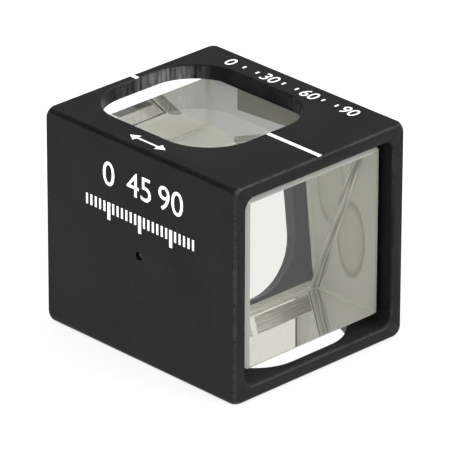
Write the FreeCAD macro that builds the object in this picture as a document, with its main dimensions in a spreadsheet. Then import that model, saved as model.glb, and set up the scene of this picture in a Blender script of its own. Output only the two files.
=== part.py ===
import FreeCAD, Part
import math
import os
import Sketcher

# Glan-Taylor polarizer: two calcite prisms with a slanted air gap, bonded in a square black cell.
# The light travels along X, up is +Z, and the origin is in the middle of the cell's bottom face.
# The exit prism is at +X. The top window lets out what the gap throws upwards, and the bottom
# window does the same for light that comes the other way.

# Driving dimensions, in millimetres and degrees
SIZES = {
    "prism_size": 16.0,            # width and height of both prisms
    "cut_angle": 38.5,             # angle between the beam and the line square to the cut
    "short_side": 4.27,            # length of each prism where it is shortest
    "prism_bevel": 0.3,            # broken edges of the prisms
    "cut_side_bevel": 0.9,         # wider bevel where the cut meets the two ground sides
    "air_gap": 0.1,                # gap between the two cut faces, measured square to them
    "glue_gap": 0.8,               # space round centred prisms, up to the walls of the cell
    "prism_shift": 0.4,            # how far the prisms sit off centre, away from the glue hole
    "wall": 1.35,                  # thickness of the cell's four walls
    "end_recess": 1.12,            # how far the prisms sit inside each end of the cell
    "opening_radius": 1.0,         # inner corners of the square opening
    "long_edge_radius": 0.4,       # outer long edges of the cell
    "end_chamfer": 0.2,            # broken edges of both end faces
    "window_length": 16.1,         # escape window, along the beam
    "window_inset": 0.9,           # how much narrower the window is than the prism, at each side
    "window_radius": 4.8,          # corners of the window
    "window_land": 0.94,           # wall left between the window and the nearer end face
    "rim_chamfer": 0.1,            # broken edge round each window
    "glue_hole_diameter": 0.8,     # hole in the middle of the side wall
    "plug_recess": 0.15,           # how far the adhesive ends inside the hole
    "plug_dome": 0.1,              # height of the round end of the adhesive in the hole
    "plug_pad_diameter": 3.2,      # adhesive that spreads behind the hole
    "pad_diameter": 8.0,           # adhesive pad at the far side of each prism
    "pad_reach": 4.4,              # pad's middle, from the middle of the cell along the beam
    "pad_drop": 2.0,               # pad's middle, from the middle of the cell down or up
    "spacer_height": 1.8,          # height of the spacer strips, measured along the slant
    "spacer_split": 0.6,           # space between the left and the right spacer strip
    "spacer_margin": 0.2,          # distance of a spacer strip from the bevels round it
    "mark_width": 0.48,            # width of the white index line
    "groove_depth": 0.1,           # depth of the groove that holds the paint
    "paint_thickness": 0.08,       # paint in the groove
}

doc = FreeCAD.newDocument("GlanTaylorPolarizer")
sheet = doc.addObject("Spreadsheet::Sheet", "Sizes")
for row, (alias, value) in enumerate(SIZES.items(), start=1):
    sheet.set(f"A{row}", str(value))
    sheet.setAlias(f"A{row}", alias)
doc.recompute()

# Two places closer than this are the same place, in millimetres
SAME = 0.001

# Sizes that follow from the driving ones, as expressions
COSINE = "cos(Sizes.cut_angle * 1deg)"
SINE = "sin(Sizes.cut_angle * 1deg)"
CUT_RUN = "Sizes.prism_size * tan(Sizes.cut_angle * 1deg)"
PAIR_LENGTH = f"({CUT_RUN} + 2 * Sizes.short_side + Sizes.air_gap / {COSINE})"
CELL_LENGTH = f"({PAIR_LENGTH} + 2 * Sizes.end_recess)"
OPENING_SIZE = "(Sizes.prism_size + 2 * Sizes.glue_gap)"
CELL_SIZE = f"({OPENING_SIZE} + 2 * Sizes.wall)"
MID_HEIGHT = f"{CELL_SIZE} / 2"
WINDOW_WIDTH = "(Sizes.prism_size - 2 * Sizes.window_inset)"
WINDOW_SHIFT = f"({CELL_LENGTH} / 2 - Sizes.window_land - Sizes.window_length / 2)"
NEAR_GAP = "(Sizes.glue_gap + Sizes.prism_shift)"
FAR_GAP = "(Sizes.glue_gap - Sizes.prism_shift)"


def amount(expression):
    """The number that an expression gives with the present sizes."""
    return float(sheet.evalExpression(expression))


def origin_plane(body, role):
    """One of the body's own origin planes, such as XY_Plane."""
    for feature in body.Origin.OriginFeatures:
        if feature.Role == role:
            return feature


def new_body(label, turn=None, **place):
    """A body whose Placement is bound to expressions, with x, y or z as keys, and an optional turn."""
    body = doc.addObject("PartDesign::Body", label)
    body.Label = label
    if turn:
        body.Placement = FreeCAD.Placement(FreeCAD.Vector(), FreeCAD.Rotation(*turn))
    for axis, expression in place.items():
        body.setExpression(f"Placement.Base.{axis}", expression)
    return body


def new_sketch(body, name, role, **offset):
    """A sketch on an origin plane, moved by expressions along its own x, y or z."""
    sketch = body.newObject("Sketcher::SketchObject", name)
    sketch.AttachmentSupport = (origin_plane(body, role), [""])
    sketch.MapMode = "FlatFace"
    for axis, expression in offset.items():
        sketch.setExpression(f"AttachmentOffset.Base.{axis}", expression)
    return sketch


def bind(sketch, kind, points, name, expression):
    """A named dimension of a sketch that follows an expression."""
    index = sketch.addConstraint(Sketcher.Constraint(kind, *points, amount(expression)))
    sketch.renameConstraint(index, name)
    sketch.setExpression(f"Constraints.{name}", expression)


def add_line(sketch, start, end):
    """A straight line of the sketch from one point to another."""
    sketch.addGeometry(Part.LineSegment(FreeCAD.Vector(*start, 0), FreeCAD.Vector(*end, 0)), False)


def closed_lines(sketch, corners):
    """Lines from corner to corner and back to the first."""
    count = len(corners)
    for index in range(count):
        add_line(sketch, corners[index], corners[(index + 1) % count])
    for index in range(count):
        sketch.addConstraint(Sketcher.Constraint("Coincident", index, 2, (index + 1) % count, 1))


def rounded_rectangle(sketch, wide, high, radius):
    """A rectangle with round corners, centred on the sketch's origin."""
    half_wide = amount(wide) / 2
    half_high = amount(high) / 2
    round_size = amount(radius)
    inner_wide = half_wide - round_size
    inner_high = half_high - round_size
    # sides in order: bottom, right, top, left
    ends = [
        ((-inner_wide, -half_high), (inner_wide, -half_high)),
        ((half_wide, -inner_high), (half_wide, inner_high)),
        ((inner_wide, half_high), (-inner_wide, half_high)),
        ((-half_wide, inner_high), (-half_wide, -inner_high)),
    ]
    for start, end in ends:
        add_line(sketch, start, end)
    centres = [(inner_wide, -inner_high), (inner_wide, inner_high)]
    centres += [(-inner_wide, inner_high), (-inner_wide, -inner_high)]
    for corner, centre in enumerate(centres):
        circle = Part.Circle(FreeCAD.Vector(*centre, 0), FreeCAD.Vector(0, 0, 1), round_size)
        start_angle = math.radians(90 * corner - 90)
        arc = Part.ArcOfCircle(circle, start_angle, start_angle + math.pi / 2)
        sketch.addGeometry(arc, False)
    for side in range(4):
        arc = 4 + side
        sketch.addConstraint(Sketcher.Constraint("Tangent", side, 2, arc, 1))
        sketch.addConstraint(Sketcher.Constraint("Tangent", arc, 2, (side + 1) % 4, 1))
    for side, direction in enumerate(["Horizontal", "Vertical", "Horizontal", "Vertical"]):
        sketch.addConstraint(Sketcher.Constraint(direction, side))
    for arc in (5, 6, 7):
        sketch.addConstraint(Sketcher.Constraint("Equal", 4, arc))
    sketch.addConstraint(Sketcher.Constraint("Symmetric", 4, 3, 6, 3, -1, 1))
    bind(sketch, "DistanceX", (3, 1, 1, 1), "wide", wide)
    bind(sketch, "DistanceY", (0, 1, 2, 1), "high", high)
    bind(sketch, "Radius", (4,), "corner_radius", radius)


def both_ways(feature, length):
    """Make a pad or pocket as long as the expression, half of it to each side of its sketch."""
    feature.SideType = "Symmetric"
    feature.setExpression("Length", length)


def pocket(body, name, sketch, depth):
    """A pocket from a sketch on the outside, down into the body."""
    cut = body.newObject("PartDesign::Pocket", name)
    cut.Profile = sketch
    cut.setExpression("Length", depth)
    return cut


def chamfer(body, name, base, wanted, size):
    """Break each edge of the base feature that the test picks out."""
    doc.recompute()
    names = [f"Edge{number}" for number, edge in enumerate(base.Shape.Edges, start=1) if wanted(edge)]
    feature = body.newObject("PartDesign::Chamfer", name)
    feature.Base = (base, names)
    feature.setExpression("Size", size)
    return feature


# The cell: a square tube milled from one block
def make_housing():
    body = new_body("housing", z=MID_HEIGHT)

    outline = new_sketch(body, "HousingOutline", "YZ_Plane")
    rounded_rectangle(outline, CELL_SIZE, CELL_SIZE, "Sizes.long_edge_radius")
    block = body.newObject("PartDesign::Pad", "HousingBlock")
    block.Profile = outline
    both_ways(block, CELL_LENGTH)

    opening = new_sketch(body, "OpeningOutline", "YZ_Plane")
    rounded_rectangle(opening, OPENING_SIZE, OPENING_SIZE, "Sizes.opening_radius")
    tunnel = body.newObject("PartDesign::Pocket", "Opening")
    tunnel.Profile = opening
    both_ways(tunnel, CELL_LENGTH)

    # the windows lie opposite each other, one near each end of the cell
    breakthrough = "Sizes.wall + Sizes.glue_gap / 2"
    top = new_sketch(body, "TopWindowOutline", "XY_Plane", x=f"-{WINDOW_SHIFT}", z=MID_HEIGHT)
    rounded_rectangle(top, "Sizes.window_length", WINDOW_WIDTH, "Sizes.window_radius")
    pocket(body, "TopWindow", top, breakthrough)
    bottom = new_sketch(body, "BottomWindowOutline", "XY_Plane", x=WINDOW_SHIFT, z=f"-{MID_HEIGHT}")
    rounded_rectangle(bottom, "Sizes.window_length", WINDOW_WIDTH, "Sizes.window_radius")
    bottom_window = pocket(body, "BottomWindow", bottom, breakthrough)
    bottom_window.Reversed = True

    hole = new_sketch(body, "GlueHoleOutline", "XZ_Plane", z=MID_HEIGHT)
    hole.addGeometry(Part.Circle(FreeCAD.Vector(), FreeCAD.Vector(0, 0, 1), 1), False)
    hole.addConstraint(Sketcher.Constraint("Coincident", 0, 3, -1, 1))
    bind(hole, "Diameter", (0,), "diameter", "Sizes.glue_hole_diameter")
    glue_hole = pocket(body, "GlueHole", hole, breakthrough)

    half_length = amount(CELL_LENGTH) / 2
    half_size = amount(CELL_SIZE) / 2
    inside_rim = amount(WINDOW_WIDTH) / 2 + SAME

    def on_end_face(edge):
        box = edge.BoundBox
        return box.XLength < SAME and abs(abs(box.XMin) - half_length) < SAME

    def on_window_rim(edge):
        box = edge.BoundBox
        level = box.ZLength < SAME and abs(abs(box.ZMin) - half_size) < SAME
        return level and max(abs(box.YMin), abs(box.YMax)) < inside_rim

    def on_rim_between_ends(edge):
        return on_window_rim(edge) and not on_end_face(edge)

    ends = chamfer(body, "EndEdges", glue_hole, on_end_face, "Sizes.end_chamfer")
    chamfer(body, "WindowRims", ends, on_rim_between_ends, "Sizes.rim_chamfer")

    # the index groove runs along the middle of the top face, over the window
    groove = new_sketch(body, "GrooveOutline", "XY_Plane", z=MID_HEIGHT)
    long_half = amount(CELL_LENGTH) / 2
    wide_half = amount("Sizes.mark_width") / 2
    closed_lines(groove, [(-long_half, -wide_half), (long_half, -wide_half),
                          (long_half, wide_half), (-long_half, wide_half)])
    for side, direction in enumerate(["Horizontal", "Vertical", "Horizontal", "Vertical"]):
        groove.addConstraint(Sketcher.Constraint(direction, side))
    groove.addConstraint(Sketcher.Constraint("Symmetric", 0, 1, 1, 2, -1, 1))
    bind(groove, "DistanceX", (0, 1, 0, 2), "long", CELL_LENGTH)
    bind(groove, "DistanceY", (1, 1, 1, 2), "wide", "Sizes.mark_width")
    pocket(body, "IndexGroove", groove, "Sizes.groove_depth")
    return body


# A calcite prism: one end square to the beam, the other cut on the slant, all edges bevelled
def make_prism(label, turn=None):
    body = new_body(label, turn, y="Sizes.prism_shift", z=MID_HEIGHT)
    profile = new_sketch(body, label + "_profile", "XZ_Plane")
    half_pair = amount(PAIR_LENGTH) / 2
    half_high = amount("Sizes.prism_size") / 2
    short_side = amount("Sizes.short_side")
    long_side = f"Sizes.short_side + {CUT_RUN}"
    # corners: bottom of the cut, bottom of the end, top of the end, top of the cut
    closed_lines(profile, [(half_pair - amount(long_side), -half_high), (half_pair, -half_high),
                           (half_pair, half_high), (half_pair - short_side, half_high)])
    profile.addConstraint(Sketcher.Constraint("Horizontal", 0))
    profile.addConstraint(Sketcher.Constraint("Horizontal", 2))
    profile.addConstraint(Sketcher.Constraint("Symmetric", 1, 1, 1, 2, -1))
    bind(profile, "DistanceX", (-1, 1, 1, 1), "half_pair", f"{PAIR_LENGTH} / 2")
    bind(profile, "DistanceY", (1, 1, 1, 2), "high", "Sizes.prism_size")
    bind(profile, "DistanceX", (0, 1, 0, 2), "long_side", long_side)
    bind(profile, "DistanceX", (2, 2, 2, 1), "short_side", "Sizes.short_side")
    blank = body.newObject("PartDesign::Pad", label + "_blank")
    blank.Profile = profile
    both_ways(blank, "Sizes.prism_size")

    def beside_the_cut(edge):
        box = edge.BoundBox
        slanted = box.XLength > SAME and box.ZLength > SAME
        return slanted and box.YLength < SAME

    def lies_square(edge):
        box = edge.BoundBox
        return max(box.XLength, box.YLength, box.ZLength) > box.DiagonalLength - SAME

    wide = chamfer(body, label + "_cut_sides", blank, beside_the_cut, "Sizes.cut_side_bevel")
    chamfer(body, label + "_bevels", wide, lies_square, "Sizes.prism_bevel")
    return body


# A thin spacer strip in one corner of the gap, laid on the slant between the two cut faces
def make_spacer(label, up, across):
    strip = doc.addObject("Part::Box", label)
    strip.Label = label
    tilt = amount("Sizes.cut_angle - 90")
    strip.setExpression("Length", "Sizes.spacer_height")
    far_side = "(Sizes.prism_size / 2 - Sizes.cut_side_bevel - Sizes.spacer_margin)"
    strip.setExpression("Width", f"{far_side} - Sizes.spacer_split / 2")
    strip.setExpression("Height", "Sizes.air_gap")
    far_along = f"(Sizes.prism_size / {COSINE} / 2 - Sizes.prism_bevel - Sizes.spacer_margin)"
    along = f"({far_along} - Sizes.spacer_height)" if up > 0 else f"(-{far_along})"
    side = "Sizes.spacer_split / 2" if across > 0 else f"-{far_side}"
    side = f"Sizes.prism_shift + {side}"
    strip.Placement = FreeCAD.Placement(FreeCAD.Vector(), FreeCAD.Rotation(FreeCAD.Vector(0, 1, 0), tilt))
    strip.setExpression("Placement.Rotation.Angle", "Sizes.cut_angle * 1deg - 90deg")
    strip.setExpression("Placement.Base.x", f"{SINE} * {along} + {COSINE} * Sizes.air_gap / 2")
    strip.setExpression("Placement.Base.y", side)
    strip.setExpression("Placement.Base.z", f"{MID_HEIGHT} + {COSINE} * {along} - {SINE} * Sizes.air_gap / 2")
    return strip


# Adhesive injected through the side wall: a pad across both prisms, and a stem that fills the hole
def make_plug(label):
    near_side = "Sizes.prism_shift - Sizes.prism_size / 2"
    body = new_body(label, (FreeCAD.Vector(0, 0, 1), 180), y=near_side, z=MID_HEIGHT)
    section = new_sketch(body, label + "_section", "XY_Plane")
    shoulder = f"{NEAR_GAP} + Sizes.wall - Sizes.plug_recess - Sizes.plug_dome"
    pad_radius = amount("Sizes.plug_pad_diameter") / 2
    stem_radius = amount("Sizes.glue_hole_diameter") / 2
    thick = amount(NEAR_GAP)
    stem_end = amount(shoulder)
    dome = amount("Sizes.plug_dome")

    # half section, measured outwards from the prisms: pad, stem, domed end, then back along the axis
    add_line(section, (0, 0), (pad_radius, 0))
    add_line(section, (pad_radius, 0), (pad_radius, thick))
    add_line(section, (pad_radius, thick), (stem_radius, thick))
    add_line(section, (stem_radius, thick), (stem_radius, stem_end))
    dome_radius = (stem_radius ** 2 + dome ** 2) / (2 * dome)
    dome_centre = FreeCAD.Vector(0, stem_end + dome - dome_radius, 0)
    dome_circle = Part.Circle(dome_centre, FreeCAD.Vector(0, 0, 1), dome_radius)
    start_angle = math.acos(stem_radius / dome_radius)
    section.addGeometry(Part.ArcOfCircle(dome_circle, start_angle, math.pi / 2), False)
    add_line(section, (0, stem_end + dome), (0, 0))
    for index in range(6):
        section.addConstraint(Sketcher.Constraint("Coincident", index, 2, (index + 1) % 6, 1))
    for side in (0, 2):
        section.addConstraint(Sketcher.Constraint("Horizontal", side))
    for side in (1, 3, 5):
        section.addConstraint(Sketcher.Constraint("Vertical", side))
    section.addConstraint(Sketcher.Constraint("Coincident", 0, 1, -1, 1))
    section.addConstraint(Sketcher.Constraint("PointOnObject", 4, 3, -2))
    bind(section, "DistanceX", (0, 1, 0, 2), "pad_radius", "Sizes.plug_pad_diameter / 2")
    bind(section, "DistanceY", (1, 1, 1, 2), "thick", NEAR_GAP)
    bind(section, "DistanceX", (5, 1, 3, 1), "stem_radius", "Sizes.glue_hole_diameter / 2")
    bind(section, "DistanceY", (0, 2, 3, 2), "shoulder", shoulder)
    bind(section, "DistanceY", (4, 1, 4, 2), "dome", "Sizes.plug_dome")

    turned = body.newObject("PartDesign::Revolution", label + "_turned")
    turned.Profile = section
    turned.ReferenceAxis = (section, ["V_Axis"])
    turned.Angle = 360
    return body


# Adhesive pad between a prism and the far side wall, a flat disc that faces along Y
def make_pad(label, reach, height):
    disc = doc.addObject("Part::Cylinder", label)
    disc.Label = label
    disc.setExpression("Radius", "Sizes.pad_diameter / 2")
    disc.setExpression("Height", FAR_GAP)
    disc.Placement = FreeCAD.Placement(FreeCAD.Vector(), FreeCAD.Rotation(FreeCAD.Vector(1, 0, 0), -90))
    disc.setExpression("Placement.Base.x", reach)
    disc.setExpression("Placement.Base.y", "Sizes.prism_size / 2 + Sizes.prism_shift")
    disc.setExpression("Placement.Base.z", height)
    return disc


# White paint in the index groove, from an end face to the window
def make_mark(label, start, length):
    paint = doc.addObject("Part::Box", label)
    paint.Label = label
    paint.setExpression("Length", length)
    paint.setExpression("Width", "Sizes.mark_width")
    paint.setExpression("Height", "Sizes.paint_thickness")
    paint.setExpression("Placement.Base.x", start)
    paint.setExpression("Placement.Base.y", "-Sizes.mark_width / 2")
    paint.setExpression("Placement.Base.z", f"{CELL_SIZE} - Sizes.groove_depth")
    return paint


housing = make_housing()
exit_prism = make_prism("exit_prism")
entrance_prism = make_prism("entrance_prism", turn=(FreeCAD.Vector(0, 1, 0), 180))
spacers = []
for up, height_name in ((1, "top"), (-1, "bottom")):
    for across, side_name in ((1, "left"), (-1, "right")):
        spacers.append(make_spacer(f"gap_spacer_{height_name}_{side_name}", up, across))

# the injected adhesive reaches both prisms, and one more pad holds each prism at the far wall
plug = make_plug("adhesive_plug")
exit_pad = make_pad("adhesive_pad_exit", "Sizes.pad_reach", f"{MID_HEIGHT} - Sizes.pad_drop")
entrance_pad = make_pad("adhesive_pad_entrance", "-Sizes.pad_reach", f"{MID_HEIGHT} + Sizes.pad_drop")

# the paint stops at the broken edges
PAINT_END = f"({CELL_LENGTH} / 2 - Sizes.end_chamfer)"
REAR_RIM = f"({CELL_LENGTH} / 2 - Sizes.window_land + Sizes.rim_chamfer)"
FRONT_RIM = f"({WINDOW_SHIFT} - Sizes.window_length / 2 - Sizes.rim_chamfer)"
rear_mark = make_mark("axis_mark_rear", f"-{PAINT_END}", f"{PAINT_END} - {REAR_RIM}")
front_mark = make_mark("axis_mark_front", f"-{FRONT_RIM}", f"{PAINT_END} + {FRONT_RIM}")

doc.recompute()

subparts = [housing, exit_prism, entrance_prism, *spacers]
subparts += [plug, exit_pad, entrance_pad, front_mark, rear_mark]
for thing in doc.Objects:
    if "Invalid" in thing.State or "Error" in thing.State:
        raise RuntimeError(f"{thing.Name} failed: {thing.State}")
for subpart in subparts:
    if subpart.Shape.isNull() or not subpart.Shape.isValid():
        raise RuntimeError(f"{subpart.Label} has no valid shape")

os.makedirs("parts", exist_ok=True)
for subpart in subparts:
    subpart.Shape.exportStep(f"parts/{subpart.Label}.step")
    box = subpart.Shape.BoundBox
    print(f"{subpart.Label:26s} {subpart.Shape.Volume:9.3f} mm3, {len(subpart.Shape.Solids)} solid,",
          f"x {box.XMin:.2f} to {box.XMax:.2f}, y {box.YMin:.2f} to {box.YMax:.2f},",
          f"z {box.ZMin:.2f} to {box.ZMax:.2f}")
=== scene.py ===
# %% [markdown]
# This polarizer sorts light with two calcite prisms. They sit in a square black cell with a thin
# slanted layer of air between them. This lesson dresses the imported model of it: the shapes come
# from the frame, and the cells below give each surface the finish of the real thing.

# %% Load the frame
import math
import bpy
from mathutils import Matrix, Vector


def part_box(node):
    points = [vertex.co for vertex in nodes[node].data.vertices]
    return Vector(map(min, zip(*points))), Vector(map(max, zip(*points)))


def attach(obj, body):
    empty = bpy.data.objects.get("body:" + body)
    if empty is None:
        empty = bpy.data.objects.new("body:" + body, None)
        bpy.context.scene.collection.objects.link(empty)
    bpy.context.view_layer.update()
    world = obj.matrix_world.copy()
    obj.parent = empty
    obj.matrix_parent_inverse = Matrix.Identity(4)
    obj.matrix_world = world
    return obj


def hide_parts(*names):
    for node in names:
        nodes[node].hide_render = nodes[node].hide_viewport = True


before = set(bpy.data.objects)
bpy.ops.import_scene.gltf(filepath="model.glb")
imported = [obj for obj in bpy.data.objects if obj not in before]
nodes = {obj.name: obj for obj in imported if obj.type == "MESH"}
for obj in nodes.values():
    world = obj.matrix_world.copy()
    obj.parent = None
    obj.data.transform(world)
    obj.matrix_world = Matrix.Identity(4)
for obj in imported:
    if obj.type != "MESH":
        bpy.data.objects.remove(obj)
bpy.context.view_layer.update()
print("pieces in the frame:", ", ".join(sorted(nodes)))

# %% [markdown]
# Blender counts in metres, and this object is small, so every length below is written in
# millimetres and turned once by `MM`. Colours are written as a picture editor shows them, in sRGB
# hex. A shader wants linear light, and one function does that change.

# %% Units and colours
MM = 0.001


def linear(hex_colour):
    """An sRGB hex colour as the linear colour with alpha that a shader socket takes."""
    shares = [int(hex_colour[place:place + 2], 16) / 255 for place in (1, 3, 5)]
    return [s / 12.92 if s <= 0.04045 else ((s + 0.055) / 1.055) ** 2.4 for s in shares] + [1.0]


cell_low, cell_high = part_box("housing")
cell_mid = (cell_low + cell_high) / 2
print("cell, in mm:", [round(side / MM, 2) for side in cell_high - cell_low])

# %% [markdown]
# A material is a small graph of nodes. Doing it by hand means adding a node, setting it and
# drawing its links. The first helper below does those three things for one node of any kind, and
# gives the node back. The second starts an empty graph with its output.

# %% Helpers for materials


def add_node(tree, kind, inputs=None, **settings):
    """Add one node. An input takes a number, a colour, or the output socket to link in."""
    node = tree.nodes.new(kind)
    for name, value in settings.items():
        setattr(node, name, value)
    for name, value in (inputs or {}).items():
        if isinstance(value, bpy.types.NodeSocket):
            tree.links.new(value, node.inputs[name])
        else:
            node.inputs[name].default_value = value
    return node


def new_material(name):
    """A material with an empty node tree and its output node."""
    material = bpy.data.materials.new(name)
    material.use_nodes = True
    material.node_tree.nodes.clear()
    output = add_node(material.node_tree, "ShaderNodeOutputMaterial")
    return material, material.node_tree, output


# %% [markdown]
# The cell is machined from aluminium, blasted with fine beads and anodised black. Beads leave
# dimples of about a tenth of a millimetre, and the dyed oxide over them is a hard, satin coat. So
# the base is nearly black and not metallic, the roughness is in the middle, and a fine noise dents
# the surface. A second, wide noise makes the black a little uneven, because no dye bath takes
# evenly. The edges at both ends are painted lighter, in specks that are wider than the dimples:
# partly wear from handling, partly a painted highlight of their shine. The blasting hardly
# reaches the walls of the opening, so their dimples are shallow.

# %% Black anodised aluminium, bead blasted
DYE_CLOUD = 6 * MM


def anodised(name, colour, light_colour, roughness, dimple_mm, depth_mm):
    """Black anodised aluminium with dimples of a given width and depth."""
    material, tree, output = new_material(name)
    place = add_node(tree, "ShaderNodeTexCoord").outputs["Object"]
    dimples = add_node(tree, "ShaderNodeTexNoise", {
        "Vector": place, "Scale": 1 / (dimple_mm * MM), "Detail": 2.0}).outputs["Fac"]
    clouds = add_node(tree, "ShaderNodeTexNoise", {
        "Vector": place, "Scale": 1 / DYE_CLOUD, "Detail": 3.0}).outputs["Fac"]
    both = add_node(tree, "ShaderNodeMath", {0: dimples, 1: clouds}, operation="ADD")
    share = add_node(tree, "ShaderNodeMapRange", {
        "Value": both.outputs[0], "From Min": 0.8, "From Max": 1.2})
    dye = add_node(tree, "ShaderNodeMix", {
        "Factor": share.outputs[0], "A": linear(colour), "B": linear(light_colour)},
        data_type="RGBA")
    dents = add_node(tree, "ShaderNodeBump", {
        "Height": dimples, "Strength": 0.5, "Distance": depth_mm * MM})
    surface = add_node(tree, "ShaderNodeBsdfPrincipled", {
        "Base Color": dye.outputs["Result"], "Roughness": roughness, "Normal": dents.outputs[0],
        "IOR": 1.5, "Specular IOR Level": 0.22})
    tree.links.new(surface.outputs[0], output.inputs["Surface"])
    return material


blasted = anodised("blasted_black_anodised", "#040404", "#101010",
                   roughness=0.5, dimple_mm=0.12, depth_mm=0.03)
# The end edges' lighter colour is partly wear and partly a painted highlight.
rubbed_and_highlit_black = anodised("rubbed_black_anodised_painted_highlight", "#0d0d0d", "#2f2f2f",
                      roughness=0.5, dimple_mm=0.2, depth_mm=0.016)
inner_black = anodised("inner_black_anodised", "#101010", "#161616",
                       roughness=0.6, dimple_mm=0.12, depth_mm=0.01)
print("anodised finishes:", blasted.name, rubbed_and_highlit_black.name, inner_black.name)

# %% [markdown]
# Both windows are cut with an end mill, and its flutes leave upright streaks on the window's wall.
# The blasting doesn't reach well into that corner, so the streaks stay and catch the light. A
# noise that is fine along the wall and long in the upright direction draws them. Their light grey
# is a painted highlight of those glints. It is strongest round one place at the rear end of the
# top window, where the light falls, and it fades away from that place.

# %% Milled window walls
CUTTER_MARK = 0.25 * MM
MARK_PATCH = 1.6 * MM
MARK_DEPTH = 0.04 * MM
GLINT_PLACE = (-11.5 * MM, 2.5 * MM, cell_high.z - 0.7 * MM)
GLINT_OUTSIDE, GLINT_INSIDE = 5.2 * MM, 2.6 * MM


def milled_wall(name):
    """Black anodised aluminium with upright cutter marks, and a painted highlight on them round one
    place.
    """
    material, tree, output = new_material(name)
    place = add_node(tree, "ShaderNodeTexCoord").outputs["Object"]
    stretched = add_node(tree, "ShaderNodeMapping", {
        "Vector": place, "Scale": (1.0, 1.0, 0.1), "Rotation": (0.1, 0.1, 0.0)}).outputs[0]
    flutes = add_node(tree, "ShaderNodeTexNoise", {
        "Vector": stretched, "Scale": 1 / CUTTER_MARK, "Detail": 2.0,
        "Roughness": 0.6}).outputs["Fac"]
    patches = add_node(tree, "ShaderNodeTexNoise", {
        "Vector": stretched, "Scale": 1 / MARK_PATCH, "Detail": 1.0}).outputs["Fac"]
    product = add_node(tree, "ShaderNodeMath", {0: flutes, 1: patches}, operation="MULTIPLY")
    share = add_node(tree, "ShaderNodeMapRange", {
        "Value": product.outputs[0], "From Min": 0.15, "From Max": 0.36})
    # How far a point lies from the lit place: the painted glints fade out with this distance.
    away = add_node(tree, "ShaderNodeVectorMath", {0: place, 1: GLINT_PLACE}, operation="DISTANCE")
    glint_share = add_node(tree, "ShaderNodeMapRange", {
        "Value": away.outputs["Value"], "From Min": GLINT_OUTSIDE, "From Max": GLINT_INSIDE,
        "To Min": 0.02})
    light = add_node(tree, "ShaderNodeMath", {0: share.outputs[0], 1: glint_share.outputs[0]},
                     operation="MULTIPLY")
    # The streaks are painted from near black up to light grey, as a painted highlight.
    dye = add_node(tree, "ShaderNodeMix", {
        "Factor": light.outputs[0], "A": linear("#080808"), "B": linear("#868686")},
        data_type="RGBA")
    grooves = add_node(tree, "ShaderNodeBump", {
        "Height": flutes, "Strength": 0.7, "Distance": MARK_DEPTH})
    surface = add_node(tree, "ShaderNodeBsdfPrincipled", {
        "Base Color": dye.outputs["Result"], "Roughness": 0.4, "Normal": grooves.outputs[0],
        "IOR": 1.5, "Specular IOR Level": 0.2})
    tree.links.new(surface.outputs[0], output.inputs["Surface"])
    return material


milled = milled_wall("milled_window_wall_painted_glints")
print("window walls:", milled.name)

# %% [markdown]
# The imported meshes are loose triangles. For a soft shine round the corners, neighbours must share
# their points. So each piece is copied, and its doubles are merged. Where it has rounded edges, it
# is shaded smooth below an angle, and the Weighted Normal modifier keeps its large faces flat up
# to those edges.

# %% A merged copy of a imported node
SAME_POINT = 0.0005 * MM


def take(piece):
    """Select one piece alone and make it the active one."""
    bpy.ops.object.select_all(action="DESELECT")
    piece.select_set(True)
    bpy.context.view_layer.objects.active = piece


def smooth(piece, below_degrees):
    """Shade smooth where two faces meet below an angle, and keep the large faces flat."""
    take(piece)
    bpy.ops.object.shade_smooth_by_angle(angle=math.radians(below_degrees))
    even = piece.modifiers.new("even_normals", "WEIGHTED_NORMAL")
    even.keep_sharp = True
    even.weight = 100
    bpy.ops.object.modifier_apply(modifier=even.name)


def merged_copy(node, name):
    """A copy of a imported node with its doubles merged, which then stands for it."""
    piece = bpy.data.objects.new(name, nodes[node].data.copy())
    bpy.context.scene.collection.objects.link(piece)
    piece.data.materials.clear()
    take(piece)
    bpy.ops.object.mode_set(mode="EDIT")
    bpy.ops.mesh.select_all(action="SELECT")
    bpy.ops.mesh.remove_doubles(threshold=SAME_POINT)
    bpy.ops.object.mode_set(mode="OBJECT")
    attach(piece, "root")
    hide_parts(node)
    print(f"{name}: {len(piece.data.polygons)} faces")
    return piece


def give_faces(piece, materials, chooser):
    """Put the materials in the piece's slots, and let the chooser pick one for each face."""
    for material in materials:
        piece.data.materials.append(material)
    for face in piece.data.polygons:
        face.material_index = chooser(face)
    counts = [sum(face.material_index == slot for face in piece.data.polygons)
              for slot in range(len(materials))]
    print(f"{piece.name}: faces by finish", counts)


# %% [markdown]
# The cell has been tumbled, so its eight outer corners are worn round while its long edges stay
# thin. A block with wide round edges stands a little outside the cell, so that only its corners
# reach in. What lies outside of this block is cut off.

# %% Round the eight corners
CORNER_RADIUS = 1.15 * MM
BROKEN_EDGE = 0.2 * MM
CORNER_STEPS = 10

cell = merged_copy("housing", "cell_body")
block_outside = CORNER_RADIUS * (1 - math.sqrt(0.5)) - BROKEN_EDGE / 2
bpy.ops.object.select_all(action="DESELECT")
bpy.ops.mesh.primitive_cube_add(size=1.0, location=cell_mid)
block = bpy.context.object
block.scale = cell_high - cell_low + Vector((2, 2, 2)) * block_outside
bpy.ops.object.transform_apply(location=True, rotation=True, scale=True)
rounding = block.modifiers.new("round_edges", "BEVEL")
rounding.width = CORNER_RADIUS
rounding.segments = CORNER_STEPS
bpy.ops.object.modifier_apply(modifier=rounding.name)
take(cell)
tumbled_corners = cell.modifiers.new("tumbled_corners", "BOOLEAN")
tumbled_corners.operation = "INTERSECT"
tumbled_corners.solver = "EXACT"
tumbled_corners.object = block
bpy.ops.object.modifier_apply(modifier=tumbled_corners.name)
bpy.data.objects.remove(block)
print("cell with round corners:", len(cell.data.polygons), "faces")

# %% [markdown]
# One piece of metal carries four finishes here, so each face of the cell is given its own by where
# it lies and which way it faces.

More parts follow.
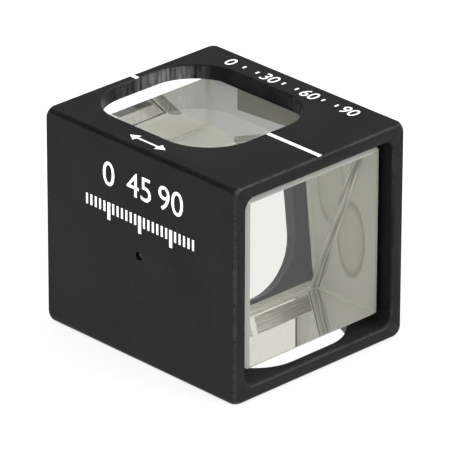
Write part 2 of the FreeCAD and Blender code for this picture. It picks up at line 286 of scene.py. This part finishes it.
# %% Dress the cell
WALL = 1.35 * MM
SLACK = 0.01 * MM
WINDOW_REACH_X, WINDOW_REACH_Y = 11.0 * MM, 7.2 * MM
WINDOW_RIM = 0.11 * MM
END_EDGE = 0.3 * MM

half_width = (cell_high.y - cell_low.y) / 2
wall_inside = half_width - WALL + SLACK


def cell_finish(face):
    """0 outside, 1 the walls of the opening, 2 those of the windows, 3 the broken end edges."""
    middle, normal = face.center, face.normal
    up = abs(middle.z - cell_mid.z)
    in_outline = abs(middle.y) < WINDOW_REACH_Y and abs(middle.x) < WINDOW_REACH_X
    if wall_inside < up < half_width - WINDOW_RIM and in_outline and abs(normal.z) < 0.3:
        return 2
    if up < wall_inside and abs(middle.y) < wall_inside and abs(normal.x) < 0.5:
        return 1
    near_an_end = cell_high.x - abs(middle.x) < END_EDGE
    return 3 if near_an_end and 0.3 < abs(normal.x) < 0.95 else 0


smooth(cell, below_degrees=28)
give_faces(cell, [blasted, inner_black, milled, rubbed_and_highlit_black], cell_finish)

# %% [markdown]
# Calcite is a clear crystal. It bends one half of the light with an index of 1.66 and the other
# half with about 1.5, and 1.6 lies between them. The faces that light crosses are polished, so
# they have no roughness at all, and the crystal takes only a trace of colour from the light.

# %% Calcite, polished
calcite, tree, output = new_material("calcite_polished")
clear = add_node(tree, "ShaderNodeBsdfPrincipled", {
    "Base Color": linear("#f1f1ec"), "Roughness": 0.0, "IOR": 1.6, "Transmission Weight": 1.0})
tree.links.new(clear.outputs[0], output.inputs["Surface"])
print("clear faces:", calcite.name)

# %% [markdown]
# The two sides of each prism, its short face and every broken edge are only ground with fine grit.
# They look like frosted glass, a warm grey that lets no clear picture through. Three marks lie on
# that frost, and the helpers below draw one each. Where adhesive wets the ground side, the frost
# is a little darker, with a dark, slightly wavy rim. Beyond a slanted line near one corner, the
# frost is darker. And the wide edges beside the cut were ground by hand, along the cut, and
# carry dark strokes.

# %% Marks on the ground surface
CUT_ANGLE = math.radians(38.5)
RIM_WAVE = 0.3 * MM
DARK_LINE_SLOPE = 0.2
DARK_RIM_X, DARK_RIM_Z = 0.08 * MM, 0.2 * MM
HAND_STROKE = 0.3 * MM
HAND_STRETCH = 20


def wet_stain(tree, place, waves, patch, frost):
    """The frost with a round wet patch on it. The patch is its middle x, z and its radius."""
    x, z, radius = patch
    flat = add_node(tree, "ShaderNodeVectorMath", {0: place, 1: (1, 0, 1)}, operation="MULTIPLY")
    reach = add_node(tree, "ShaderNodeVectorMath", {0: flat.outputs[0], 1: (x, 0, z)},
                     operation="DISTANCE")
    wavy = add_node(tree, "ShaderNodeMath", {0: waves, 1: RIM_WAVE, 2: reach.outputs["Value"]},
                    operation="MULTIPLY_ADD")
    out = add_node(tree, "ShaderNodeMath", {0: wavy.outputs[0], 1: radius}, operation="DIVIDE")
    rim = add_node(tree, "ShaderNodeValToRGB", {"Fac": out.outputs[0]})
    stops = rim.color_ramp.elements
    stops[0].color = linear("#f6f6f2")
    stops[1].color = linear("#ffffff")
    for where, grey in ((0.74, "#f0f0ec"), (0.9, "#d2d2cc"), (0.96, "#dcdcd6")):
        stops.new(where).color = linear(grey)
    stain = add_node(tree, "ShaderNodeMix", {
        "Factor": 1.0, "A": frost, "B": rim.outputs["Color"]},
        data_type="RGBA", blend_type="MULTIPLY")
    return stain.outputs["Result"]


def darker_beyond(tree, place, corner, frost):
    """The frost with a darker part beyond a corner, which is given as x and z."""
    x, z = corner
    beyond = add_node(tree, "ShaderNodeVectorMath", {0: place, 1: (x, 0, z)},
                      operation="SUBTRACT")
    sides = add_node(tree, "ShaderNodeSeparateXYZ", {0: beyond.outputs[0]})
    rise = add_node(tree, "ShaderNodeMath", {
        0: sides.outputs[0], 1: -DARK_LINE_SLOPE, 2: sides.outputs[2]}, operation="MULTIPLY_ADD")
    in_x = add_node(tree, "ShaderNodeMapRange", {"Value": sides.outputs[0], "From Max": DARK_RIM_X})
    in_z = add_node(tree, "ShaderNodeMapRange", {"Value": rise.outputs[0], "From Max": DARK_RIM_Z})
    dark_share = add_node(tree, "ShaderNodeMath", {0: in_x.outputs[0], 1: in_z.outputs[0]},
                   operation="MULTIPLY")
    darker = add_node(tree, "ShaderNodeMix", {
        "Factor": dark_share.outputs[0], "A": frost, "B": linear("#a4a49c")}, data_type="RGBA")
    return darker.outputs["Result"]


def hand_strokes(tree, place, frost):
    """The frost with dark strokes that run along the cut."""
    along_cut = add_node(tree, "ShaderNodeMapping", {
        "Vector": place, "Rotation": (0, CUT_ANGLE - math.pi / 2, 0),
        "Scale": (HAND_STRETCH, 1, 1)}, vector_type="TEXTURE")
    strokes = add_node(tree, "ShaderNodeTexNoise", {
        "Vector": along_cut.outputs[0], "Scale": 1 / HAND_STROKE, "Detail": 1.0}).outputs["Fac"]
    share = add_node(tree, "ShaderNodeMapRange", {
        "Value": strokes, "From Min": 0.4, "From Max": 0.62})
    streak = add_node(tree, "ShaderNodeMix", {
        "Factor": share.outputs[0], "A": linear("#9a9a92"), "B": frost}, data_type="RGBA")
    return streak.outputs["Result"]


# %% [markdown]
# The adhesive pad wets the exit prism's far side and has crept towards the cut, and its rim shows
# there as a darker ring. The entrance prism's far side is a lighter frost, and it is darker beyond
# a slanted line near one upper corner.

# %% Calcite, fine ground
GRIT = 0.1 * MM
GRIT_DEPTH = 0.01 * MM
FROST_CLOUD = 5 * MM
GROUND_TONES = ("#fcfcf3", "#f6f6ec")
ENTRANCE_SIDE_TONES = ("#fdfdff", "#f6f6f8")
EDGE_TONES = ("#cacac2", "#bdbdb5")
CREEP = 1.5 * MM
DARK_PART_CORNER = (-7.08 * MM, 10.85 * MM)


def ground_calcite(name, tones, wet=None, darker_from=None, streaked=False):
    """Fine-ground calcite in a light and a dark tone, with the marks that it carries."""
    material, tree, output = new_material(name)
    place = add_node(tree, "ShaderNodeTexCoord").outputs["Object"]
    grit = add_node(tree, "ShaderNodeTexNoise", {
        "Vector": place, "Scale": 1 / GRIT, "Detail": 2.0}).outputs["Fac"]
    clouds = add_node(tree, "ShaderNodeTexNoise", {
        "Vector": place, "Scale": 1 / FROST_CLOUD, "Detail": 2.0}).outputs["Fac"]
    light_tone, dark_tone = tones
    tone = add_node(tree, "ShaderNodeMix", {
        "Factor": clouds, "A": linear(dark_tone), "B": linear(light_tone)}, data_type="RGBA")
    frost = tone.outputs["Result"]
    if wet:
        frost = wet_stain(tree, place, clouds, wet, frost)
    if darker_from:
        frost = darker_beyond(tree, place, darker_from, frost)
    if streaked:
        frost = hand_strokes(tree, place, frost)
    dents = add_node(tree, "ShaderNodeBump", {
        "Height": grit, "Strength": 0.3, "Distance": GRIT_DEPTH})
    surface = add_node(tree, "ShaderNodeBsdfPrincipled", {
        "Base Color": frost, "Roughness": 0.6, "Normal": dents.outputs[0], "IOR": 1.5,
        "Specular IOR Level": 0.3})
    tree.links.new(surface.outputs[0], output.inputs["Surface"])
    return material


pad_low, pad_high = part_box("adhesive_pad_exit")
pad_mid = (pad_low + pad_high) / 2
wet_patch = (pad_mid.x - CREEP, pad_mid.z, (pad_high.z - pad_low.z) / 2)
ground = ground_calcite("calcite_ground", GROUND_TONES)
wet_exit = ground_calcite("calcite_ground_at_exit_pad", GROUND_TONES, wet=wet_patch)
# The entrance prism's far side is darker beyond a slanted line near one upper corner.
darker_corner_side = ground_calcite("calcite_ground_darker_corner", ENTRANCE_SIDE_TONES, darker_from=DARK_PART_CORNER)
broken_edge = ground_calcite("calcite_broken_edge", EDGE_TONES)
cut_edge = ground_calcite("calcite_ground_beside_cut", GROUND_TONES, streaked=True)
print("wet patch x, z and radius, in mm:", [round(value / MM, 2) for value in wet_patch])

# %% [markdown]
# Each face of a prism is known by its normal: the sides face along Y, the broken edges lie at 45
# degrees between an end and a side, and the wide edges lie between the cut and a side. What is
# left is a large polished face or the short ground face, and its area tells which.

# %% Dress the prisms
FLAT = 0.999
SAME_WAY = 0.01
SHORT_FACE = 60 * MM * MM
EDGE_NORMAL = math.sqrt(0.5)
CUT_EDGE_NORMAL = math.cos(CUT_ANGLE) * math.sqrt(0.5)


def prism_finish(face):
    """0 polished, 1 ground, 2 the wet side, 3 the front's broken edges, 4 beside the cut."""
    normal = face.normal
    if normal.y > FLAT:
        return 2
    if abs(normal.x - EDGE_NORMAL) < SAME_WAY:
        return 3
    if abs(abs(normal.x) - CUT_EDGE_NORMAL) < SAME_WAY:
        return 4
    return 1 if normal.y < -FLAT or face.area < SHORT_FACE else 0


for node, name, wet_side in (("exit_prism", "exit_prism_glass", wet_exit),
                             ("entrance_prism", "entrance_prism_glass", darker_corner_side)):
    prism = merged_copy(node, name)
    give_faces(prism, [calcite, ground, wet_side, broken_edge, cut_edge], prism_finish)

# %% [markdown]
# What is left is small: strips of bright foil that hold the gap open, cured adhesive in the side
# hole and beside the prisms, and matt white paint in the index groove. The foil is creased along
# its length, and each crease throws another part of the bright floor into the crystal as a streak,
# so its grain is drawn out along Y. The adhesive has set glossy with a soft waviness, and the paint
# has the fine tooth of its pigment.

# %% Foil, adhesive and paint


def plain_finish(name, colour, roughness, metallic=0.0, grain_mm=0.1, depth_mm=0.004, along_y=1.0):
    """One colour with a grain in its surface. along_y below 1 draws the grain out along Y."""
    material, tree, output = new_material(name)
    place = add_node(tree, "ShaderNodeTexCoord").outputs["Object"]
    drawn_out = add_node(tree, "ShaderNodeMapping", {
        "Vector": place, "Scale": (1, along_y, 1)}).outputs[0]
    grain = add_node(tree, "ShaderNodeTexNoise", {
        "Vector": drawn_out, "Scale": 1 / (grain_mm * MM), "Detail": 2.0}).outputs["Fac"]
    dents = add_node(tree, "ShaderNodeBump", {
        "Height": grain, "Strength": 0.4, "Distance": depth_mm * MM})
    surface = add_node(tree, "ShaderNodeBsdfPrincipled", {
        "Base Color": linear(colour), "Roughness": roughness, "Metallic": metallic,
        "Normal": dents.outputs[0]})
    tree.links.new(surface.outputs[0], output.inputs["Surface"])
    return material


foil = plain_finish("creased_bright_foil", "#fbfaf6", roughness=0.35, metallic=0.65,
                    grain_mm=0.3, depth_mm=0.6, along_y=0.05)
adhesive_black = plain_finish("cured_black_adhesive", "#0c0c0c", roughness=0.1, grain_mm=0.4)
adhesive_clear = plain_finish("cured_clear_adhesive", "#cfccc0", roughness=0.3, grain_mm=0.4)
paint = plain_finish("white_index_paint", "#fcfcfa", roughness=0.55, grain_mm=0.08)
print("small finishes:", foil.name, adhesive_black.name, adhesive_clear.name, paint.name)

# %% [markdown]
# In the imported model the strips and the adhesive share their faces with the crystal, and a ray
# tracer can't tell which of two such faces comes first. So their copies are drawn back from the
# crystal by a hundredth of a millimetre or less.

# %% Dress the small pieces
SAME_HEIGHT = 0.001 * MM
FOIL_CLEARANCE = 0.005 * MM
ADHESIVE_CLEARANCE = 0.01 * MM
ACROSS_GAP = (math.cos(CUT_ANGLE), 0, -math.sin(CUT_ANGLE))
ACROSS_CELL = (0, 1, 0)


def draw_back(piece, axis, gap):
    """Move the two end faces along an axis towards each other, by the gap at each end."""
    axis = Vector(axis).normalized()
    heights = [vertex.co.dot(axis) for vertex in piece.data.vertices]
    top, bottom = max(heights), min(heights)
    for vertex, height in zip(piece.data.vertices, heights):
        if top - height < SAME_HEIGHT:
            vertex.co -= axis * gap
        elif height - bottom < SAME_HEIGHT:
            vertex.co += axis * gap


def dress_adhesive(node, name, material):
    """A rounded, drawn-back copy of an adhesive node in its finish."""
    piece = merged_copy(node, name)
    smooth(piece, below_degrees=40)
    draw_back(piece, ACROSS_CELL, ADHESIVE_CLEARANCE)
    piece.data.materials.append(material)


for height in ("top", "bottom"):
    for side in ("left", "right"):
        strip = merged_copy(f"gap_spacer_{height}_{side}", f"foil_strip_{height}_{side}")
        draw_back(strip, ACROSS_GAP, FOIL_CLEARANCE)
        strip.data.materials.append(foil)

dress_adhesive("adhesive_plug", "plug_of_adhesive", adhesive_black)
for end in ("exit", "entrance"):
    dress_adhesive(f"adhesive_pad_{end}", f"{end}_pad_of_adhesive",
                   adhesive_clear)

for node in ("axis_mark_front", "axis_mark_rear"):
    mesh = nodes[node].data
    mesh.materials.clear()
    mesh.materials.append(paint)

# %% [markdown]
# White marks are printed on the top and on one side. They are plain scales: ticks in a row with
# plain numbers between them. Each tick is a thin plate, and each number is a text object that is
# made a mesh. The print is a hundredth of a millimetre thick, so it lies on the metal and not in
# it.

# %% Tools for the printed marks
PRINT = 0.01 * MM
DIGIT_SHARE = 0.73


def thicken_print(outline):
    """Apply a flat outline's place, and give it the thickness of the print."""
    take(outline)
    bpy.ops.object.transform_apply(location=True, rotation=True, scale=True)
    bpy.ops.object.mode_set(mode="EDIT")
    bpy.ops.mesh.select_all(action="SELECT")
    bpy.ops.mesh.extrude_region_move(TRANSFORM_OT_translate={"value": (0, 0, PRINT)})
    bpy.ops.mesh.select_all(action="SELECT")
    bpy.ops.mesh.normals_make_consistent(inside=False)
    bpy.ops.object.mode_set(mode="OBJECT")


def bar(length, width, x, y):
    """A thin bar on the drawing plane, centred at x, y, with its length along x."""
    bpy.ops.object.select_all(action="DESELECT")
    bpy.ops.mesh.primitive_plane_add(size=1.0, location=(x, y, 0))
    plate = bpy.context.object
    plate.scale = (length, width, 1)
    thicken_print(plate)
    return plate


def arrow_tip(radius, x):
    """A thin triangle at x on the drawing plane, which points away from the middle."""
    turn = -math.copysign(math.pi / 2, x)
    bpy.ops.object.select_all(action="DESELECT")
    bpy.ops.mesh.primitive_circle_add(
        vertices=3, radius=radius, fill_type="NGON", location=(x, 0, 0), rotation=(0, 0, turn))
    tip = bpy.context.object
    thicken_print(tip)
    return tip


def number(digits, height, x, y):
    """Plain digits on the drawing plane, centred at x, with their foot at y."""
    bpy.ops.object.select_all(action="DESELECT")
    bpy.ops.object.text_add(location=(0, 0, 0))
    words = bpy.context.object
    words.data.body = digits
    words.data.align_x = "CENTER"
    words.data.extrude = PRINT / 2
    words.data.size = height / DIGIT_SHARE
    bpy.ops.object.convert(target="MESH")
    words = bpy.context.object
    words.location = (x, y, PRINT / 2)
    bpy.ops.object.transform_apply(location=True, rotation=True, scale=True)
    return words


def print_marks(name, parts, origin, right, up):
    """Join the parts, and lay their drawing plane on the face with the given directions."""
    bpy.ops.object.select_all(action="DESELECT")
    for part in parts:
        part.select_set(True)
    bpy.context.view_layer.objects.active = parts[0]
    bpy.ops.object.join()
    print_piece = bpy.context.object
    print_piece.name = name
    print_piece.data.name = name
    right, up = Vector(right), Vector(up)
    out = right.cross(up)
    for vertex in print_piece.data.vertices:
        flat = vertex.co.copy()
        vertex.co = Vector(origin) + right * flat.x + up * flat.y + out * flat.z
    print_piece.data.materials.clear()
    print_piece.data.materials.append(paint)
    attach(print_piece, "root")
    print(f"{name}: {len(print_piece.data.polygons)} faces")


# %% [markdown]
# The top carries a row of ten marks along one side of the window, every third of them a number,
# and on the other side a double arrow that shows the direction of the axis.

# %% Print the scale and the arrow on the top
STROKE = 0.2 * MM
TOP_MARKS = 10
TOP_PITCH = 1.63 * MM
TOP_DIGIT, TOP_TICK, TOP_TICK_Y = 1.4 * MM, 0.45 * MM, 0.7 * MM
TOP_SCALE_PLACE = (-0.4 * MM, 7.65 * MM, cell_high.z)
ARROW_SHAFT, ARROW_TIP_X, ARROW_TIP_RADIUS = 2.6 * MM, 1.6 * MM, 0.6 * MM
ARROW_PLACE = (-0.4 * MM, -8.7 * MM, cell_high.z)
ALONG_X, ALONG_Y, ALONG_Z = (1, 0, 0), (0, 1, 0), (0, 0, 1)

top_row = []
for step in range(TOP_MARKS):
    along = TOP_PITCH * (step - (TOP_MARKS - 1) / 2)
    if step % 3 == 0:
        top_row.append(number(str(10 * step), TOP_DIGIT, along, 0))
    else:
        top_row.append(bar(STROKE, TOP_TICK, along, TOP_TICK_Y))
print_marks("top_scale", top_row, TOP_SCALE_PLACE, ALONG_X, ALONG_Y)

arrow = [bar(ARROW_SHAFT, STROKE, 0, 0)]
for end in (-1, 1):
    arrow.append(arrow_tip(ARROW_TIP_RADIUS, end * ARROW_TIP_X))
print_marks("top_axis_arrow", arrow, ARROW_PLACE, ALONG_X, ALONG_Y)

# %% [markdown]
# The side carries a longer scale: 25 ticks, of which three are long, with a number above each
# long one.

# %% Print the scale on the side
TICK_PITCH = 0.55 * MM
TICKS_EACH_WAY = 12
LONG_EACH = 7
LONG_TICK, SHORT_TICK = (0.36 * MM, 1.65 * MM), (0.24 * MM, 1.0 * MM)
SIDE_DIGIT, SIDE_DIGIT_Y = 2.35 * MM, 1.6 * MM
SIDE_SCALE_PLACE = (0.1 * MM, cell_low.y, 14.0 * MM)

side_row = []
for step in range(-TICKS_EACH_WAY, TICKS_EACH_WAY + 1):
    wide, tall = LONG_TICK if step % LONG_EACH == 0 else SHORT_TICK
    side_row.append(bar(wide, tall, TICK_PITCH * step, -tall / 2))
for step in (-1, 0, 1):
    along = TICK_PITCH * LONG_EACH * step
    side_row.append(number(str(45 * (step + 1)), SIDE_DIGIT, along, SIDE_DIGIT_Y))
print_marks("side_scale", side_row, SIDE_SCALE_PLACE, ALONG_X, ALONG_Z)

# %% [markdown]
# The camera stands far off with a long lens, so the cell's edges stay nearly parallel.

# %% Camera
CAMERA_PLACE = (0.31503, -0.30530, 0.21714)
CAMERA_TURN = (64.710, -0.151, 45.966)
LENS, SENSOR = 448.05, 36

bpy.ops.object.select_all(action="DESELECT")
bpy.ops.object.camera_add(
    location=CAMERA_PLACE, rotation=[math.radians(turn) for turn in CAMERA_TURN])
camera = bpy.context.object
camera.data.lens = LENS
camera.data.sensor_width = SENSOR
camera.data.clip_end = 20
bpy.context.scene.camera = camera
print("camera to object, in mm:", round((camera.location - cell_mid).length / MM))

# %% [markdown]
# The studio is a white room: a pale floor, an even white sky and two soft lamps. Glass only looks
# like glass when it has something to bend, and here that is the white round about and the black of
# the cell. The floor glows for rays that come through the crystal, and under the cell, where a lit
# table would shine up into the bottom window.

# %% Floor
FLOOR_SIDE = 6.0
FLOOR_BELOW = 0.02 * MM
GLOW_X, GLOW_Y = 11.0 * MM, 9.5 * MM
CAMERA_LIFT = 0.6

bpy.ops.object.select_all(action="DESELECT")
bpy.ops.mesh.primitive_plane_add(size=FLOOR_SIDE, location=(0, 0, -FLOOR_BELOW))
floor = bpy.context.object
floor.name = "studio_floor"
floor_look, tree, output = new_material("pale_floor")
sheet = add_node(tree, "ShaderNodeBsdfDiffuse", {"Color": linear("#f6f6f6")})
glow = add_node(tree, "ShaderNodeEmission", {"Color": linear("#ffffff"), "Strength": 1.0})
rays = add_node(tree, "ShaderNodeLightPath")
through = add_node(tree, "ShaderNodeMath", {
    0: rays.outputs["Is Transmission Ray"], 1: rays.outputs["Is Glossy Ray"]},
    operation="MAXIMUM")
place = add_node(tree, "ShaderNodeTexCoord").outputs["Object"]
distance = add_node(tree, "ShaderNodeVectorMath", {0: place}, operation="ABSOLUTE")
sides = add_node(tree, "ShaderNodeSeparateXYZ", {0: distance.outputs[0]})
in_x = add_node(tree, "ShaderNodeMath", {0: sides.outputs[0], 1: GLOW_X}, operation="LESS_THAN")
in_y = add_node(tree, "ShaderNodeMath", {0: sides.outputs[1], 1: GLOW_Y}, operation="LESS_THAN")
below = add_node(tree, "ShaderNodeMath", {0: in_x.outputs[0], 1: in_y.outputs[0]},
                 operation="MULTIPLY")
bright = add_node(tree, "ShaderNodeMath", {0: through.outputs[0], 1: below.outputs[0]},
                  operation="MAXIMUM")
lift = add_node(tree, "ShaderNodeMath", {0: rays.outputs["Is Camera Ray"], 1: CAMERA_LIFT},
                operation="MULTIPLY")
lifted = add_node(tree, "ShaderNodeMixShader", {
    0: lift.outputs[0], 1: sheet.outputs[0], 2: glow.outputs[0]})
floor_mix = add_node(tree, "ShaderNodeMixShader", {
    0: bright.outputs[0], 1: lifted.outputs[0], 2: glow.outputs[0]})
tree.links.new(floor_mix.outputs[0], output.inputs["Surface"])
floor.data.materials.append(floor_look)
print("floor side, in m:", FLOOR_SIDE)

# %% [markdown]
# The sky is white for the camera and through the crystal. A diffuse surface sees it as an even
# room, and in gloss it is a soft light that falls off towards one side, which leaves the cell's
# near long edge dark and its front edges bright. Since its level depends on the kind of ray, the
# sky isn't sampled as a lamp too: the rays find it by themselves.

# %% Sky
ROOM_LEVEL = 0.8
BRIGHT_SIDE = (0.84, 0.38, 0.40)

world = bpy.data.worlds.new("white_room")
bpy.context.scene.world = world
world.use_nodes = True
world.cycles.sampling_method = "NONE"
tree = world.node_tree
tree.nodes.clear()
toward = add_node(tree, "ShaderNodeTexCoord").outputs["Generated"]
facing = add_node(tree, "ShaderNodeVectorMath", {
    0: toward, 1: Vector(BRIGHT_SIDE).normalized()}, operation="DOT_PRODUCT")
level = add_node(tree, "ShaderNodeMapRange", {
    "Value": facing.outputs["Value"], "From Min": -0.6, "From Max": 0.9,
    "To Min": 0.18, "To Max": 1.1})
rays = add_node(tree, "ShaderNodeLightPath")
room = add_node(tree, "ShaderNodeMix", {
    "Factor": rays.outputs["Is Glossy Ray"], "A": ROOM_LEVEL, "B": level.outputs[0]})
seen = add_node(tree, "ShaderNodeMath", {
    0: rays.outputs["Is Camera Ray"], 1: rays.outputs["Is Transmission Ray"]},
    operation="MAXIMUM")
strength = add_node(tree, "ShaderNodeMath", {0: room.outputs[0], 1: seen.outputs[0]},
                    operation="MAXIMUM")
sky = add_node(tree, "ShaderNodeBackground", {
    "Color": linear("#ffffff"), "Strength": strength.outputs[0]})
add_node(tree, "ShaderNodeOutputWorld", {"Surface": sky.outputs[0]})
bpy.context.scene.view_settings.view_transform = "Standard"
print("sky:", world.name)

# %% [markdown]
# Two square lamps add the direction that the sky lacks. The key lamp hangs high before the square
# end, and the fill lamp high beside the side with the scale. The fill lamp is kept out of
# reflections, or it would draw a bright line along the black edges.

# %% Lamps
LAMP_SIDE = 0.4
LAMP_WATTS = 3.0


def soft_lamp(name, place):
    """A square lamp that points at the object."""
    bpy.ops.object.select_all(action="DESELECT")
    bpy.ops.object.light_add(type="AREA", location=place)
    lamp = bpy.context.object
    lamp.name = name
    lamp.data.size = LAMP_SIDE
    lamp.data.energy = LAMP_WATTS
    lamp.rotation_euler = (-lamp.location).to_track_quat("-Z", "Y").to_euler()
    return lamp


key = soft_lamp("key_lamp", (0.34, 0.28, 0.43))
fill = soft_lamp("fill_lamp", (-0.12, -0.42, 0.42))
fill.visible_glossy = False
print("lamps:", key.name, fill.name)

# %% [markdown]
# Inside the two prisms a ray is thrown from face to face before it gets out, more often than the
# usual limits allow. So the number of bounces is raised.

# %% Bounces
paths = bpy.context.scene.cycles
paths.max_bounces = 24
paths.glossy_bounces = 16
paths.transmission_bounces = 24
print("bounces:", paths.max_bounces)
